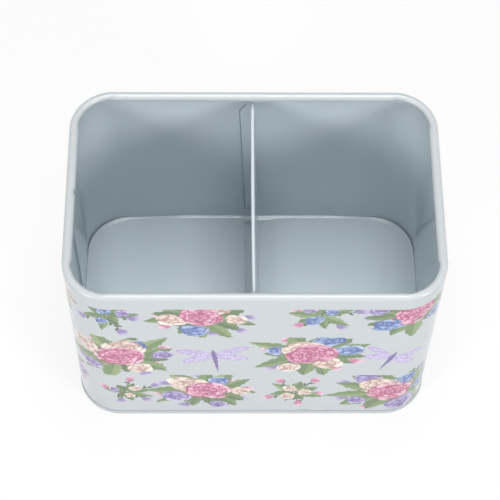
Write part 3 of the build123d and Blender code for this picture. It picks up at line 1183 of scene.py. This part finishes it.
divider = {
    "foot": 4.65,  # its fold lies this far right of the middle
    "lean": 2.02,  # degrees, the top to the left
    "rise": 129.3,
    "beadDiameter": 1.8,
    "beadTurn": 300.0,
    "beadSteps": 20,
    "beadLength": 118.4,
    "flangeWidth": 8.5,
    "bend": 0.9,
    "flangeFoot": 11.0,
    "flangeHead": 6.0,
    "cropHeight": 7.0,
    "cropWidth": 4.5,
    "footInset": 4.6,
    "standOff": (0.32, 0.95),  # mm at top and foot: a dark bare-metal strip along their edge, painted shade for the gap behind them
    "bareEdge": (0.3, 0.9),  # strip along their edge where the lacquer has drawn back, top and foot
    "columns": 28,
    "footRows": (2.5, 5.0, 8.0),  # heights of the rows of points under the side flanges
    "rows": (20, 4, 3),  # steps from there to the slanting cut, to its top and to the bead
    "wave": 0.25,  # the web isn't quite flat
    "waveTurns": (0.045, 0.03, 0.8),  # radians per mm upward and backward, and to start with
    "bow": 0.25,  # and its top edge is sprung a little to the left
    "footFollow": 20.0,  # height over which its foot fits itself to the bowed floor
}


lean = math.radians(divider["lean"])
upWeb = Vector((-math.sin(lean), math.cos(lean)))
rightOfWeb = Vector((upWeb.y, -upWeb.x))
fold = Vector((divider["foot"], base["floorHeight"] + tin["sheet"] / 2))
innerFace = boxDepth / 2 - tin["sheet"]
webHalf = innerFace - tin["sheet"] / 2 - divider["bend"]
footHalf = innerFace - divider["footInset"]
beadStart = divider["rise"] - divider["beadDiameter"] / 2
flangeTop = divider["rise"] - divider["flangeHead"]
flangeReach = divider["flangeWidth"] - tin["sheet"] / 2
cropStart = flangeTop - divider["cropHeight"]


def webHeights():
    # heights over the fold at which the web has a row of points
    heights = list(divider["footRows"])
    start = divider["flangeFoot"]
    for end, steps in zip((cropStart, flangeTop, beadStart), divider["rows"]):
        heights += [start + (end - start) * k / steps for k in range(steps)]
        start = end
    return heights + [beadStart]


def halfAt(height):
    # half of the web's depth at a height over the fold
    top, foot = divider["standOff"]
    share = min(max(height / flangeTop, 0.0), 1.0)
    half = webHalf - top * share - foot * (1 - share)
    if height < divider["flangeFoot"]:
        share = max(height - divider["bend"], 0.0) / (divider["flangeFoot"] - divider["bend"])
        return footHalf + (half - footHalf) * share
    if height > flangeTop:
        share = (height - flangeTop) / (beadStart - flangeTop)
        return half + (divider["beadLength"] / 2 - half) * share
    return half


def spotAt(point, y, height):
    # one point of the sheet, with the web's wave and bow, none at its upright edges
    share = height / beadStart
    slack = 1 - min(abs(y) / halfAt(height), 1.0) ** 2
    upward, backward, start = divider["waveTurns"]
    wave = math.sin(math.pi * share) * math.sin(height * upward + y * backward + start)
    x = point.x + slack * (divider["wave"] * wave - divider["bow"] * smooth(share))
    z = point.y + riseAt(point.x, y) * max(0.0, 1 - height / divider["footFollow"])
    return x * mm, y * mm, z * mm


def webRows(heights):
    # the sheet from the tip of its foot up the web and round the bead: point, half depth, height
    tip = Vector((divider["foot"] + tin["sheet"] / 2 - divider["flangeWidth"], fold.y))
    foot = bentLine([tip, fold, fold + upWeb * divider["footRows"][0]], [divider["bend"]])[:-1]
    rows = [(point, footHalf, 0.0) for point in foot]
    rows += [(fold + upWeb * height, halfAt(height), height) for height in heights]
    radius = (divider["beadDiameter"] - tin["sheet"]) / 2
    centre = fold + upWeb * beadStart - rightOfWeb * radius
    for k in range(1, divider["beadSteps"] + 1):
        turn = math.radians(divider["beadTurn"]) * k / divider["beadSteps"]
        rows.append((centre + turned(rightOfWeb * radius, turn), divider["beadLength"] / 2, beadStart))
    return rows


def flangeOutline(height):
    # one side flange at a height: from the web round its fold, and in three steps to its strip of painted
    # shade along the edge
    reach = flangeReach - divider["cropWidth"] * max(0.0, height - cropStart) / divider["cropHeight"]
    half, bend = halfAt(height), divider["bend"]
    outline = bentLine([(0, half), (0, half + bend), (-reach, half + bend)], [bend])
    # the strip along the edge gets the dark bare-metal finish as painted shade, wider towards the foot
    top, foot = divider["bareEdge"]
    bare = top + (foot - top) * (1 - height / flangeTop)
    shadeStripStart = outline[-1] + Vector((bare, 0))
    return outline[1:-1] + [outline[-2].lerp(shadeStripStart, k / 3) for k in (1, 2, 3)] + outline[-1:]


def makeDivider(materials):
    bm = bmesh.new()
    heights = webHeights()
    web, front, back = [], [], []
    for point, half, height in webRows(heights):
        depths = [half * (2 * k / divider["columns"] - 1) for k in range(divider["columns"] + 1)]
        web.append([bm.verts.new(spotAt(point, y, height)) for y in depths])
    for side, flange in ((-1, front), (1, back)):
        for height in heights:
            if divider["flangeFoot"] <= height <= flangeTop:
                row = []
                for across, y in flangeOutline(height):
                    at = fold + upWeb * height + rightOfWeb * across
                    row.append(bm.verts.new(spotAt(at, side * y, height)))
                flange.append(row[::side])
    # the last strip of each side flange takes the bare-metal finish: painted shade along its edge
    for block, bareAt in ((web, -1), (front, 0), (back, len(back[0]) - 2)):
        for row, other in zip(block, block[1:]):
            for i in range(len(row) - 1):
                addFace(bm, (row[i], row[i + 1], other[i + 1], other[i]), int(i == bareAt))
    bmesh.ops.remove_doubles(bm, verts=bm.verts, dist=weld)
    piece = finishPiece("divider_sheet", bm, materials, "divider", sharpAngle=40)
    sheet = piece.modifiers.new("sheet", "SOLIDIFY")
    sheet.thickness = tin["sheet"] * mm
    sheet.offset = 0.0
    sheet.use_even_offset = True
    sheet.material_offset_rim = 1


makeDivider((lacquer, edge))

print("all pieces ready")
